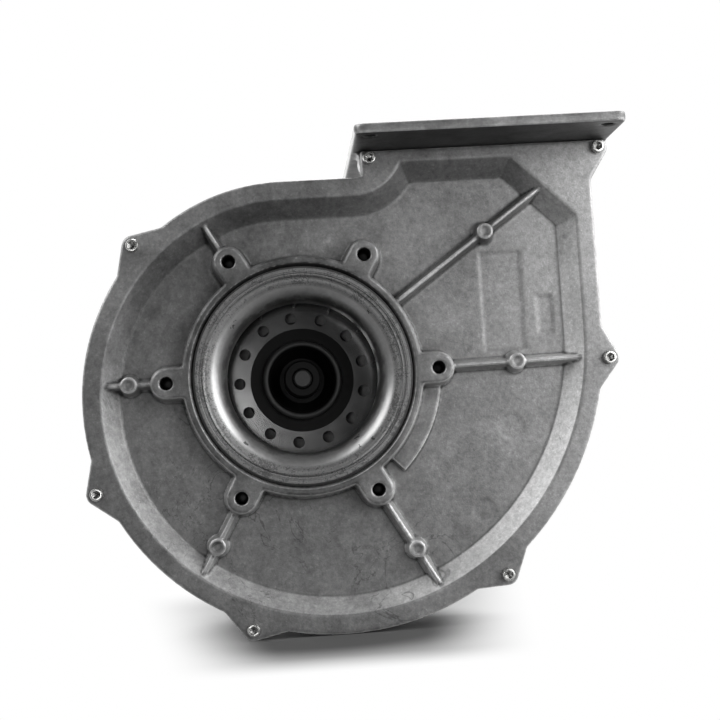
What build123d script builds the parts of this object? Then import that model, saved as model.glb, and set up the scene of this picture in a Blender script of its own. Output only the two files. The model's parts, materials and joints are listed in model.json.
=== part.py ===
from build123d import *
from math import asin, atan, cos, degrees, exp, hypot, pi, radians, sin, sqrt, tan
import os

# Radial blower of a condensing boiler: die-cast scroll casing with an outlet flange, an inlet nozzle,
# a backward-curved wheel and a brushless motor on rubber mounts.
# X is to the right, Z is up, and Y runs along the shaft from the inlet face back to the motor.
# The origin is the centre of the inlet bolt circle, on the face that the inlet parts bolt to.
# Lengths are in millimetres.

# ---- Casing: how the layers follow each other from front to back ---------------------------------
rim_setback = 5.0             # from the inlet face back to the cover's rim
rim_thickness = 4.0           # cover rim, and the casing flange behind it
recess_depth = 10.0           # the cover's sunk field lies this far behind its rim
cover_wall = 3.5
gasket_thickness = 0.8
casing_depth = 61.0           # from the front of the rim to the back of the casing
casing_wall = 4.0
casing_edge_radius = 5.0
flange_step = 4.0             # the parting flange stands out this far from the scroll wall

rim_back = rim_setback + rim_thickness
casing_front = rim_back + gasket_thickness
casing_flange_back = casing_front + rim_thickness
field_front = rim_setback + recess_depth
field_back = field_front + cover_wall
casing_back = rim_setback + casing_depth
casing_floor = casing_back - casing_wall
scroll_middle = (rim_setback + casing_back) / 2

# ---- Scroll outline: a logarithmic spiral between a level top edge and the upright duct wall -----
spiral_center = (2.8, 1.2)
spiral_radius = 103.2         # straight above the spiral's centre
spiral_pitch = 0.0912         # natural growth of the radius for each radian
duct_left = 37.6
outlet_height = 119.2         # underside of the outlet flange above the shaft
cover_top_gap = 0.4           # between the cover's top edge and the outlet flange
spiral_spans = 9

# ---- Sunk field of the cover ---------------------------------------------------------------------
rim_width = 9.8
bank_width = 9.4              # sloping bank between the rim and the field
field_top_margin = 7.2
corner_cut = 33.5             # the field's upper right corner is cut off at 45 degrees
tongue_x = 33.0
tongue_radius = 27.5

# ---- Cover screws --------------------------------------------------------------------------------
ear_angles = (140.8, 206.6, 254.7, 311.4, 359.7)
ear_standoff = 3.1            # screw centre beyond the outline
ear_radius = 5.9
ear_reach = 17.0              # along the outline, from the screw to where the ear runs out
cover_screw_radius = 2.0
cover_screw_length = 18.0
cover_head_radius = 3.5
cover_head_height = 4.0
corner_screw_left = 4.6       # from the duct's left edge to the upper left screw
corner_screw_right = 4.2      # from the duct's right edge out to the upper right screw
corner_screw_drop = 4.6       # below the outlet flange
screw_boss_radius = 5.4
screw_boss_depth = 15.0
thread_clearance = 0.05
screw_hole_clearance = 0.25

# ---- Outlet flange -------------------------------------------------------------------------------
flange_thickness = 5.4
flange_center_x = 103.0
flange_corner_radius = 4.0
flange_hole_spacing = 124.0
flange_hole_radius = 3.25
flange_edge = 8.5             # from a bolt hole's centre to the flange's edge
outlet_corner_radius = 6.0
gusset_thickness = 4.0
gusset_height = 30.0

# ---- Inlet pad, lugs and ribs --------------------------------------------------------------------
inlet_bolt_radius = 72.0
inlet_bolt_count = 6
inlet_hole_radius = 3.4
inlet_hole_depth = 14.0
inlet_countersink = 0.45
lug_radius = 8.4
pad_ledge = 5.4               # from the nozzle's seat to the pad's edge
pad_chamfer = 1.2
pad_draft = 3.7               # degrees by which the sides of the pad and the lugs lean
arc_pad_radius = 74.0
arc_pad_height = 5.5
arc_pad_from = -8.0
arc_pad_to = -46.0
rib_crest = 1.5               # rib crest behind the cover's rim
rib_crest_width = 2.0
rib_foot_width = 5.4
rib_crest_radius = 0.8
rib_boss_radius = 4.4
rib_boss_draft = 6.8          # degrees
rib_dimple_radius = 2.8
rib_dimple_depth = 0.7
ribs = ((0.6, 115.0), (35.2, 125.2), (120.0, None), (179.7, 92.1), (240.0, 100.4), (300.0, 109.6))

# ---- Plain sunk panels and round marks on the field (x, z, width, height or radius) ---------------
panel_depth = 0.5
panels = ((110.5, 35.0, 23.0, 54.0), (133.5, 26.5, 9.0, 21.0))
mark_depth = 0.3
marks = ((111.0, -33.4, 7.2), (93.2, -77.5, 6.5), (21.2, 72.5, 3.6))

# ---- Inlet nozzle --------------------------------------------------------------------------------
throat_radius = 41.0
throat_length = 9.0
bell_width = 11.2
bell_depth = 15.0
nozzle_wall = 1.8
nozzle_rim_width = 4.1         # flat rim between the bell and the seal's groove
nozzle_seat_depth = 4.8
nozzle_face = 0.5             # behind the inlet face
seal_section = 0.95           # radius of the seal's cord
seal_groove_width = 2.0
fit_clearance = 0.1

bell_center_radius = throat_radius + bell_width
bell_outer_radius = bell_center_radius + nozzle_wall
nozzle_radius = bell_center_radius + nozzle_rim_width + seal_groove_width
pad_radius = nozzle_radius + pad_ledge

# ---- Wheel ---------------------------------------------------------------------------------------
wheel_radius = 85.0
back_plate_front = 47.6
back_plate_thickness = 1.5
back_plate_bore = 29.0
blade_count = 13
blade_thickness = 1.2
blade_inner_radius = 41.2
blade_sweep = 34.0            # degrees that a blade trails from its inner to its outer end
blade_bow = 7.0
blade_lead = 4.0              # degrees from a relief hole to the blade's inner end
blade_nozzle_gap = 1.6
relief_hole_radius = 3.25
relief_circle_radius = 35.0
relief_phase = 14.4
shroud_thickness = 1.2
eye_gap = 1.6                 # between the nozzle's throat and the shroud's eye
eye_front = 23.5
eye_length = 2.0
shroud_rim_front = 31.5
shroud_bend = 4.0

# ---- Hub and shaft -------------------------------------------------------------------------------
shaft_radius = 5.0
shaft_front = 33.0
hub_radius = 10.3
hub_front = 34.0
hub_back = 58.0
hub_flange_radius = 33.0
hub_ring_radius = 22.6        # outside of the rounded shoulder
hub_ring_front = 45.0
hub_wall = 2.4

# ---- Motor mounting ------------------------------------------------------------------------------
opening_radius = 56.0         # hole in the back of the casing
mount_count = 4
mount_boss_radius = 7.0
mount_boss_reach = 5.0        # inside the casing
mount_boss_height = 2.0       # behind the casing
mount_screw_radius = 2.5
mount_screw_grip = 7.5        # thread length in the boss
mount_head_radius = 4.25
mount_head_height = 5.0
washer_radius = 6.0
washer_thickness = 1.0
grommet_radius = 6.0
grommet_collar_radius = 8.4
grommet_collar = 2.5
sleeve_wall = 1.0
motor_seal_section = 2.2
motor_seal_margin = 0.5       # from the opening's edge to the seal, and from the seal to the grommets

# ---- Motor ---------------------------------------------------------------------------------------
shield_wall = 4.0
shield_setback = 1.5          # the front shield stands this far inside the casing's floor
cup_clearance = 3.0           # all round the cup in the casing's opening
cup_depth = 14.5
lug_rim_reach = 4.0           # the rim behind the seal stands out this far from the opening's edge
lug_rim_thickness = 4.5
mount_lug_radius = 9.0
bearing_radius = 13.0
bearing_width = 8.0
bearing_pitch_radius = 9.0
ball_radius = 2.38
ball_count = 7
ball_clearance = 0.07
inner_race_radius = 7.6
outer_race_radius = 10.4
cage_thickness = 0.8
cage_width = 6.0
bearing_boss_wall = 4.5
bearing_lip = 1.0
shaft_clearance = 1.5
seal_radius = 9.5
seal_width = 2.5
shaft_mid_radius = 6.0
circlip_thickness = 1.0
circlip_radius = 7.3
circlip_groove = 0.3

can_step = 5.0                # from the cup in to the can
can_wall = 3.5
can_length = 53.0
fin_count = 28
fin_height = 4.0
fin_thickness = 1.8
bolt_column_radius = 5.0
bolt_count = 4
bolt_radius = 2.0
bolt_head_radius = 3.5
bolt_head_height = 4.0
bolt_thread = 4.0             # thread length in the motor's flange
spigot_depth = 2.0
spigot_wall = 3.0

stack_front = 88.0
stack_length = 28.0
slot_count = 9
tooth_width = 8.0
stator_bore_radius = 25.3
tooth_tip_depth = 2.2
tooth_tip_gap = 2.4
yoke_width = 6.0
insulator_thickness = 1.0
coil_thickness = 3.6
coil_clearance = 0.4

rotor_core_radius = 21.5
rotor_overhang = 1.0
magnet_thickness = 3.0
magnet_count = 4
magnet_arc = 78.0
spring_thickness = 1.5

end_shield_thickness = 5.0
end_shield_wall = 3.5
end_shield_step = 3.0         # the end shield stands out from the can
sensor_magnet_thickness = 3.0

# ---- Electronics behind the motor ----------------------------------------------------------------
standoff_radius = 3.5
standoff_edge = 8.0           # from a standoff to the board's edge
standoff_count = 4
standoff_height = 8.0
board_gap = 2.0               # between the board and the hood
board_thickness = 1.6
board_tongue_width = 42.0
board_tongue_reach = 53.0
board_screw_radius = 1.5
board_screw_length = 8.0
board_head_radius = 2.8
board_head_height = 2.4
capacitor_radius = 6.5
capacitor_height = 15.0
capacitor_places = ((-9.0, 26.0), (7.0, 28.0))
choke_radius = 7.0
choke_cord_radius = 3.0
choke_place = (27.0, 2.0)
sensor_size = 4.0
sensor_height = 1.3
module_size = (22.0, 14.0, 3.6)
module_place = (-14.0, -6.0)
header_reach = 60.0           # mouths of the headers below the shaft
header_length = 15.0
header_height = 12.0
header_wall = 1.2
header_pocket = 10.0
pin_length = 8.0
mains_header_x = -10.5
mains_header_width = 19.0
mains_pin_count = 3
mains_pin_pitch = 5.0
mains_pin_side = 1.2
signal_header_x = 11.5
signal_header_width = 17.0
signal_pin_count = 5
signal_pin_pitch = 2.5
signal_pin_side = 0.8

hood_wall = 2.0
hood_depth = 29.0
hood_edge_radius = 4.0
hood_ear_step = 4.0           # from the hood out to the screws in its ears
hood_ear_radius = 4.6
hood_ear_thickness = 3.0
hood_screw_radius = 2.0
hood_screw_length = 7.5
bulge_width = 48.0
bulge_reach = 58.0
bulge_front = 5.5             # behind the rear end shield
bulge_back = 27.0


def across(depth):
    """Plane square to the shaft at a depth. What is sketched on it is extruded towards the front."""
    return Plane.XZ.offset(-depth)


def write(piece, name):
    """Label a finished piece and write it as a STEP file of its own."""
    piece.part.label = name
    export_step(piece.part, f"parts/{name}.step")


os.makedirs("parts", exist_ok=True)

# ---- Outlines that the casing's pieces share -----------------------------------------------------
pitch_angle = atan(spiral_pitch)
spiral_start = pi / 2 + pitch_angle
spiral_turn = 1.5 * pi


def spiral_point(angle, inset=0.0):
    """Point of the scroll outline at an angle in radians, moved in square to the curve."""
    radius = spiral_radius * exp(spiral_pitch * (angle - pi / 2))
    inwards = angle + pi - pitch_angle
    x = spiral_center[0] + radius * cos(angle) + inset * cos(inwards)
    z = spiral_center[1] + radius * sin(angle) + inset * sin(inwards)
    return (x, z)


def spiral_curve(inset):
    """The three quarter turn of the spiral as a chain of arcs. Returns its level start and upright end."""
    half_span = spiral_turn / spiral_spans / 2
    points = [spiral_point(spiral_start + half_span * i, inset) for i in range(2 * spiral_spans + 1)]
    for first, middle, last in zip(points[:-2:2], points[1:-1:2], points[2::2]):
        ThreePointArc(first, middle, last)
    return Vector(points[0]), Vector(points[-1])


def scroll_outline(inset, top):
    """Outline of the scroll and its duct, moved in by an inset, with its top edge at a given height."""
    left = duct_left + inset
    with BuildSketch() as outline:
        with BuildLine():
            start, end = spiral_curve(inset)
            Polyline(end, (end.X, top), (left, top), (left, start.Y), start)
        make_face()
    return outline.sketch


duct_right = spiral_point(spiral_start + spiral_turn)[0]
scroll_top = spiral_point(spiral_start)[1]
tongue_z = scroll_top - rim_width + tongue_radius
cover_top = outlet_height - cover_top_gap
ear_foot = 1.0


def ear_outline(angle):
    """Pointed ear round a cover screw: the hull of its tip and of two spots on the outline."""
    turn = radians(angle)
    spread = ear_reach / hypot(*spiral_point(turn))
    feet = [spiral_point(turn + side * spread, ear_foot) for side in (-1, 1)]
    with BuildSketch() as ear:
        with Locations(spiral_point(turn, -ear_standoff)):
            Circle(ear_radius)
        with Locations(*feet):
            Circle(ear_foot)
        make_hull()
    return ear.sketch


corner_screws = (
    (duct_left + corner_screw_left, outlet_height - corner_screw_drop),
    (duct_right + corner_screw_right, outlet_height - corner_screw_drop),
)
screw_points = [spiral_point(radians(angle), -ear_standoff) for angle in ear_angles] + list(corner_screws)


def parting_outline(top):
    """Outline of the cover and of the flange behind it, with the ears for the cover screws."""
    with BuildSketch() as outline:
        add(scroll_outline(0, top))
        for angle in ear_angles:
            add(ear_outline(angle))
        with BuildSketch(mode=Mode.PRIVATE) as corner_ear:
            with Locations(corner_screws[1]):
                Circle(ear_radius)
            with Locations((duct_right - ear_foot, corner_screws[1][1] - ear_reach)):
                Circle(ear_foot)
            with Locations((duct_right - ear_radius, corner_screws[1][1] + ear_radius)):
                Circle(ear_foot)
            make_hull()
        add(corner_ear.sketch)
        with Locations((corner_screws[1][0], top)):
            Rectangle(4 * ear_radius, 2 * ear_radius, align=(Align.CENTER, Align.MIN), mode=Mode.SUBTRACT)
    return outline.sketch


def field_outline(step):
    """Edge of the cover's sunk field, moved in by a step: spiral, duct wall, cut corner, top and tongue."""
    top = outlet_height - field_top_margin - step
    cut = corner_cut - step * (2 - sqrt(2))
    with BuildSketch() as outline:
        with BuildLine():
            start, end = spiral_curve(rim_width + step)
            radius = tongue_z - start.Y
            rise = asin((top - tongue_z) / radius)
            tongue_end = (tongue_x + radius * cos(rise), top)
            Polyline(end, (end.X, top - cut), (end.X - cut, top), tongue_end)
            middle = (rise - pi / 2) / 2
            bend = (tongue_x + radius * cos(middle), tongue_z + radius * sin(middle))
            ThreePointArc(tongue_end, bend, (tongue_x, start.Y))
            Line((tongue_x, start.Y), start)
        make_face()
    return outline.sketch


def cavity_outline():
    """Inside of the casing: spiral, duct wall, open top and the tongue between scroll and duct."""
    with BuildSketch() as outline:
        with BuildLine():
            start, end = spiral_curve(flange_step + casing_wall)
            radius = tongue_z - start.Y
            rise = asin((outlet_height - tongue_z) / radius)
            tongue_end = (tongue_x + radius * cos(rise), outlet_height)
            Polyline(end, (end.X, outlet_height), tongue_end)
            middle = (rise - pi / 2) / 2
            bend = (tongue_x + radius * cos(middle), tongue_z + radius * sin(middle))
            ThreePointArc(tongue_end, bend, (tongue_x, start.Y))
            Line((tongue_x, start.Y), start)
        make_face()
    return outline.sketch


# ---- Front cover: rim, sunk field, inlet pad with six lugs, and ribs ------------------------------
def pan_step(depth):
    """How far in the back of the cover's bank lies at a depth, one wall thickness behind its front."""
    slope = bank_width / recess_depth
    return slope * (depth - rim_setback) - cover_wall * sqrt(1 + slope**2)


def rib_plane(angle):
    """Plane across a rib where it leaves the pad, upright on the field and looking out along the rib."""
    turn = radians(angle)
    start = (pad_inner * cos(turn), field_back, pad_inner * sin(turn))
    return Plane(origin=start, x_dir=(-sin(turn), 0, cos(turn)), z_dir=(cos(turn), 0, sin(turn)))


pad_inner = nozzle_radius + 1.0
rib_height = field_back - rim_setback - rib_crest
boss_height = field_back - rim_setback
pad_spread = (field_back - pad_chamfer) * tan(radians(pad_draft))

with BuildPart() as pan:
    with BuildSketch(across(rim_back)):
        add(field_outline(0))
    extrude(amount=rim_thickness)
    for depth in (rim_back, field_back):
        with BuildSketch(across(depth)):
            add(field_outline(pan_step(depth)))
    loft(ruled=True)

with BuildPart() as field_ribs:
    for angle, boss_radius in ribs:
        with BuildSketch(rib_plane(angle)) as rib_section:
            Polygon(
                (-rib_foot_width / 2, 0),
                (rib_foot_width / 2, 0),
                (rib_foot_width / 2, cover_wall),
                (rib_crest_width / 2, rib_height),
                (-rib_crest_width / 2, rib_height),
                (-rib_foot_width / 2, cover_wall),
                align=None,
            )
            fillet(rib_section.vertices().sort_by(Axis.Y)[-2:], rib_crest_radius)
        extrude(amount=2 * spiral_radius)
        if boss_radius:
            turn = radians(angle)
            boss_place = (boss_radius * cos(turn), boss_radius * sin(turn))
            with BuildSketch(across(field_back)):
                with Locations(boss_place):
                    Circle(rib_boss_radius + boss_height * tan(radians(rib_boss_draft)))
            extrude(amount=boss_height, taper=rib_boss_draft)
            with BuildSketch(across(rim_setback + rib_dimple_depth)):
                with Locations(boss_place):
                    Circle(rib_dimple_radius)
            extrude(amount=rib_dimple_depth, mode=Mode.SUBTRACT)
    add(pan.part, mode=Mode.INTERSECT)

with BuildPart() as casing_cover:
    with BuildSketch(across(rim_back)):
        add(parting_outline(cover_top))
    extrude(amount=rim_thickness)
    add(pan.part)
    with BuildSketch(across(rim_setback)):
        add(field_outline(0))
    with BuildSketch(across(field_front)):
        add(field_outline(bank_width))
    loft(ruled=True, mode=Mode.SUBTRACT)
    with BuildSketch(across(field_front + panel_depth)):
        for x, z, width, height in panels:
            with Locations((x, z)):
                Rectangle(width, height)
    extrude(amount=panel_depth, mode=Mode.SUBTRACT)
    with BuildSketch(across(field_front + mark_depth)):
        for x, z, radius in marks:
            with Locations((x, z)):
                Circle(radius)
    extrude(amount=mark_depth, mode=Mode.SUBTRACT)
    add(field_ribs.part)
    with BuildSketch(across(field_back)):
        Circle(arc_pad_radius)
        for angle, side in ((arc_pad_from, Align.MIN), (arc_pad_to, Align.MAX)):
            Rectangle(3 * arc_pad_radius, 3 * arc_pad_radius, rotation=angle, align=(Align.CENTER, side),
                      mode=Mode.SUBTRACT)
    extrude(amount=field_back - field_front + arc_pad_height)
    with BuildSketch(across(field_back)):
        Circle(pad_radius + pad_spread)
        with PolarLocations(inlet_bolt_radius, inlet_bolt_count):
            Circle(lug_radius + pad_spread)
            Rectangle(inlet_bolt_radius - pad_inner, 2 * (lug_radius + pad_spread),
                      align=(Align.MAX, Align.CENTER))
    extrude(amount=field_back, taper=pad_draft)
    chamfer(casing_cover.faces().sort_by(Axis.Y)[0].edges(), pad_chamfer)
    # Bore and seat for the inlet nozzle, and the back of the pad cored out as a ring
    with BuildSketch(across(field_back)):
        Circle(bell_outer_radius)
    extrude(amount=field_back, mode=Mode.SUBTRACT)
    with BuildSketch(across(nozzle_seat_depth)):
        Circle(nozzle_radius + fit_clearance)
    extrude(amount=nozzle_seat_depth, mode=Mode.SUBTRACT)
    with BuildSketch(across(field_back)):
        Circle(pad_radius - cover_wall)
        Circle(bell_outer_radius + cover_wall, mode=Mode.SUBTRACT)
    extrude(amount=field_back - nozzle_seat_depth - casing_wall, mode=Mode.SUBTRACT)
    # Tapped holes for the inlet parts, countersunk, and clearance holes for the cover screws
    with BuildSketch(across(inlet_hole_depth)):
        with PolarLocations(inlet_bolt_radius, inlet_bolt_count):
            Circle(inlet_hole_radius)
    extrude(amount=inlet_hole_depth, mode=Mode.SUBTRACT)
    with BuildSketch(across(0)):
        with PolarLocations(inlet_bolt_radius, inlet_bolt_count):
            Circle(inlet_hole_radius + inlet_countersink)
    extrude(amount=-inlet_countersink, taper=45, mode=Mode.SUBTRACT)
    with BuildSketch(across(rim_back)):
        with Locations(*screw_points):
            Circle(cover_screw_radius + screw_hole_clearance)
    extrude(amount=rim_thickness, mode=Mode.SUBTRACT)
write(casing_cover, "casing_cover")

# ---- Gasket between the cover and the casing -----------------------------------------------------
with BuildPart() as casing_gasket:
    with BuildSketch(across(casing_front)):
        add(parting_outline(cover_top))
        add(cavity_outline(), mode=Mode.SUBTRACT)
        with Locations(*screw_points):
            Circle(cover_screw_radius + screw_hole_clearance, mode=Mode.SUBTRACT)
    extrude(amount=gasket_thickness)
write(casing_gasket, "casing_gasket")

# ---- Rear casing: scroll wall, parting flange, screw bosses, motor opening and outlet flange -------
mount_circle_radius = opening_radius + 2 * motor_seal_margin + motor_seal_section + grommet_collar_radius
boss_slot_length = ear_standoff + flange_step + casing_wall / 2
tongue_reach = tongue_z - scroll_top + flange_step + casing_wall
flange_size = flange_hole_spacing + 2 * flange_edge
opening_left = tongue_x + sqrt(tongue_reach**2 - (outlet_height - tongue_z) ** 2)
opening_right = duct_right - flange_step - casing_wall

with BuildPart() as casing_rear:
    with BuildSketch(across(casing_back)):
        add(scroll_outline(flange_step, outlet_height))
    extrude(amount=casing_back - casing_front)
    back_edges = casing_rear.faces().sort_by(Axis.Y)[-1].edges().sort_by(Axis.Z)
    fillet(back_edges[:-1], casing_edge_radius)
    with BuildSketch(across(casing_flange_back)):
        add(parting_outline(outlet_height))
    extrude(amount=rim_thickness)
    with BuildSketch(across(casing_front + screw_boss_depth)):
        for angle in ear_angles:
            turn = radians(angle)
            with Locations(spiral_point(turn, boss_slot_length / 2 - ear_standoff)):
                SlotCenterToCenter(boss_slot_length, 2 * screw_boss_radius,
                                   rotation=angle - degrees(pitch_angle))
        for x, z in corner_screws:
            with Locations((x, z)):
                Circle(screw_boss_radius)
        with Locations(corner_screws[1]):
            Rectangle(boss_slot_length, 2 * screw_boss_radius, align=(Align.MAX, Align.CENTER))
    extrude(amount=screw_boss_depth)
    with BuildSketch(across(casing_floor)):
        add(cavity_outline())
    extrude(amount=casing_floor - casing_front, mode=Mode.SUBTRACT)
    with BuildSketch(across(casing_back + mount_boss_height)):
        with PolarLocations(mount_circle_radius, mount_count, start_angle=45):
            Circle(mount_boss_radius)
    extrude(amount=mount_boss_height + casing_wall + mount_boss_reach)
    # Outlet flange square to the duct, with its port, its bolt holes and a gusset pair behind it
    with BuildSketch(Plane.XY.offset(outlet_height)):
        with Locations((flange_center_x, scroll_middle)):
            RectangleRounded(flange_size, flange_size, flange_corner_radius)
            with GridLocations(flange_hole_spacing, flange_hole_spacing, 2, 2):
                Circle(flange_hole_radius, mode=Mode.SUBTRACT)
    extrude(amount=flange_thickness)
    with BuildSketch(Plane.XY.offset(outlet_height)):
        with Locations(((opening_left + opening_right) / 2, (casing_flange_back + casing_floor) / 2)):
            RectangleRounded(opening_right - opening_left, casing_floor - casing_flange_back,
                             outlet_corner_radius)
    extrude(amount=flange_thickness, mode=Mode.SUBTRACT)
    gusset_run = scroll_middle + flange_size / 2 - casing_back - gusset_thickness
    for side in (-1, 1):
        with BuildSketch(Plane.YZ.offset(flange_center_x + side * flange_size / 4)):
            with BuildLine():
                Polyline(
                    (casing_back - gusset_thickness, outlet_height),
                    (casing_back + gusset_run, outlet_height),
                    (casing_back, outlet_height - gusset_height),
                    (casing_back - gusset_thickness, outlet_height - gusset_height),
                    close=True,
                )
            make_face()
        extrude(amount=gusset_thickness / 2, both=True)
    # Motor opening, and blind holes for the mounting and cover screws
    with BuildSketch(across(casing_back)):
        Circle(opening_radius)
    extrude(amount=casing_wall, mode=Mode.SUBTRACT)
    with BuildSketch(across(casing_back + mount_boss_height)):
        with PolarLocations(mount_circle_radius, mount_count, start_angle=45):
            Circle(mount_screw_radius + thread_clearance)
    extrude(amount=mount_screw_grip + 1, mode=Mode.SUBTRACT)
    with BuildSketch(across(rim_setback + cover_screw_length + 1)):
        with Locations(*screw_points):
            Circle(cover_screw_radius + thread_clearance)
    extrude(amount=rim_setback + cover_screw_length + 1 - casing_front, mode=Mode.SUBTRACT)
write(casing_rear, "casing_rear")

# ---- Cover screws: socket heads on the rim, threads in the casing's bosses -------------------------
def socket_screw(plane, places, radius, length, head_radius, head_height):
    """Cap screws with a hexagon socket, on a plane that the heads sit on and point away from."""
    with BuildPart() as screws:
        with BuildSketch(plane):
            with Locations(*places):
                Circle(head_radius)
        extrude(amount=head_height)
        head_faces = screws.faces().sort_by(Axis(plane.origin, plane.z_dir))[-len(places):]
        chamfer(head_faces.edges(), head_height / 10)
        with BuildSketch(plane.offset(head_height / 2)):
            with Locations(*places):
                RegularPolygon(radius * 0.75, 6, major_radius=False)
        extrude(amount=head_height / 2, mode=Mode.SUBTRACT)
        with BuildSketch(plane):
            with Locations(*places):
                Circle(radius)
        extrude(amount=-length)
    return screws


cover_screws = socket_screw(across(rim_setback), screw_points, cover_screw_radius, cover_screw_length,
                            cover_head_radius, cover_head_height)
write(cover_screws, "cover_screws")

# ---- Inlet nozzle: bell mouth on a seat in the cover, with its seal round the rim ------------------
throat_start = nozzle_face + 1.4 + bell_depth
throat_end = throat_start + throat_length
seal_shelf = nozzle_face + seal_groove_width + 0.4

with BuildPart() as inlet_nozzle:
    with BuildSketch(Plane.XY):
        with BuildLine():
            EllipticalCenterArc((bell_center_radius, throat_start), bell_width, bell_depth,
                                start_angle=180, arc_size=90)
            Polyline(
                (bell_center_radius, throat_start - bell_depth),
                (bell_center_radius + 0.4, nozzle_face + 0.8),
                (bell_center_radius + 2.8, nozzle_face + 0.6),
                (bell_center_radius + 3.2, nozzle_face),
                (nozzle_radius - seal_groove_width, nozzle_face),
                (nozzle_radius - seal_groove_width, seal_shelf),
                (nozzle_radius, seal_shelf),
                (nozzle_radius, nozzle_seat_depth),
                (bell_center_radius, nozzle_seat_depth),
            )
            EllipticalCenterArc((bell_center_radius, throat_start), bell_width - nozzle_wall,
                                throat_start - nozzle_seat_depth, start_angle=180, arc_size=90)
            Polyline(
                (throat_radius + nozzle_wall, throat_start),
                (throat_radius + nozzle_wall, throat_end),
                (throat_radius, throat_end),
                (throat_radius, throat_start),
            )
        make_face()
    revolve(axis=Axis.Y)
write(inlet_nozzle, "inlet_nozzle")

with BuildPart() as nozzle_seal:
    with BuildSketch(Plane.XY):
        with Locations((nozzle_radius - seal_groove_width / 2, seal_shelf - seal_section)):
            Circle(seal_section)
    revolve(axis=Axis.Y)
write(nozzle_seal, "nozzle_seal")

# ---- Wheel: back plate with relief holes, backward-curved blades and a dished shroud ---------------
back_plate_back = back_plate_front + back_plate_thickness
eye_radius = throat_radius + nozzle_wall + eye_gap
shroud_profile_angle = atan((shroud_rim_front - eye_front - eye_length) / (wheel_radius - eye_radius))

with BuildPart() as wheel_back_plate:
    with BuildSketch(across(back_plate_back)):
        Circle(wheel_radius)
        Circle(back_plate_bore, mode=Mode.SUBTRACT)
        with PolarLocations(relief_circle_radius, blade_count, start_angle=relief_phase):
            Circle(relief_hole_radius, mode=Mode.SUBTRACT)
    extrude(amount=back_plate_thickness)
write(wheel_back_plate, "wheel_back_plate")

shroud_line = [
    (eye_radius, eye_front),
    (eye_radius, eye_front + eye_length),
    (eye_radius + shroud_bend, eye_front + eye_length + shroud_bend * tan(shroud_profile_angle + pi / 8)),
    (wheel_radius, shroud_rim_front),
]
with BuildPart() as wheel_shroud:
    with BuildSketch(Plane.XY):
        with BuildLine():
            FilletPolyline(*shroud_line, radius=shroud_bend / 2)
        trace(line_width=shroud_thickness)
    revolve(axis=Axis.Y)
write(wheel_shroud, "wheel_shroud")

blade_outer_radius = wheel_radius - blade_thickness
blade_end = (blade_outer_radius * cos(radians(blade_sweep)), -blade_outer_radius * sin(radians(blade_sweep)))
blade_front = throat_end + blade_nozzle_gap
with BuildSketch() as blade_section:
    with BuildLine():
        SagittaArc((blade_inner_radius, 0), blade_end, blade_bow)
    trace(line_width=blade_thickness)

with BuildPart() as blade_space:
    with BuildSketch(Plane.XY):
        Polygon(
            (0, blade_front),
            (eye_radius, blade_front),
            *shroud_line[2:],
            (wheel_radius, back_plate_front),
            (0, back_plate_front),
            align=None,
        )
    revolve(axis=Axis.Y)

with BuildPart() as wheel_blades:
    with BuildSketch(across(back_plate_front)):
        with PolarLocations(0, blade_count, start_angle=relief_phase - blade_lead):
            add(blade_section.sketch)
    extrude(amount=back_plate_front - eye_front)
    add(blade_space.part, mode=Mode.INTERSECT)
    add(wheel_shroud.part, mode=Mode.SUBTRACT)
write(wheel_blades, "wheel_blades")

# ---- Hub: dished pressing with a rounded shoulder, pressed on the shaft ----------------------------
shoulder_radius = hub_wall
shoulder_center = (hub_ring_radius - shoulder_radius, hub_ring_front + shoulder_radius)
dish_floor = hub_back - hub_wall
with BuildPart() as wheel_hub:
    with BuildSketch(Plane.XY):
        with BuildLine():
            Polyline(
                (hub_ring_radius, shoulder_center[1]),
                (hub_ring_radius, back_plate_back),
                (hub_flange_radius, back_plate_back),
                (hub_flange_radius, back_plate_back + hub_wall),
                (hub_ring_radius - 2 * hub_wall, back_plate_back + hub_wall),
                (hub_radius + 2 * hub_wall, hub_back),
                (shaft_radius, hub_back),
                (shaft_radius, hub_front + 1.0),
                (shaft_radius + 1.0, hub_front),
                (hub_radius - 1.0, hub_front),
                (hub_radius, hub_front + 1.0),
                (hub_radius, dish_floor),
                (hub_radius + hub_wall, dish_floor),
                (shoulder_center[0] - shoulder_radius, shoulder_center[1]),
            )
            ThreePointArc(
                (shoulder_center[0] - shoulder_radius, shoulder_center[1]),
                (shoulder_center[0], hub_ring_front),
                (hub_ring_radius, shoulder_center[1]),
            )
        make_face()
    revolve(axis=Axis.Y)
write(wheel_hub, "wheel_hub")

# ---- Stations of the motor along the shaft ---------------------------------------------------------
shield_front = casing_floor - shield_setback
bearing_front = shield_front + seal_width + bearing_lip
rim_front = shield_front + cup_depth - lug_rim_thickness
can_front = shield_front + cup_depth
can_back = can_front + can_length
rear_bearing_back = can_back + end_shield_thickness - bearing_lip - spring_thickness
rear_bearing_front = rear_bearing_back - bearing_width
end_shield_back = can_back + end_shield_thickness
shaft_back = end_shield_back + 1.0
core_front = stack_front - rotor_overhang
core_back = stack_front + stack_length + rotor_overhang
bearing_boss_radius = bearing_radius + bearing_boss_wall
cup_radius = opening_radius - cup_clearance
lug_rim_radius = opening_radius + lug_rim_reach
can_radius = cup_radius - can_step
can_bore = can_radius - can_wall
bolt_circle_radius = can_radius + bolt_column_radius

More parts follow.
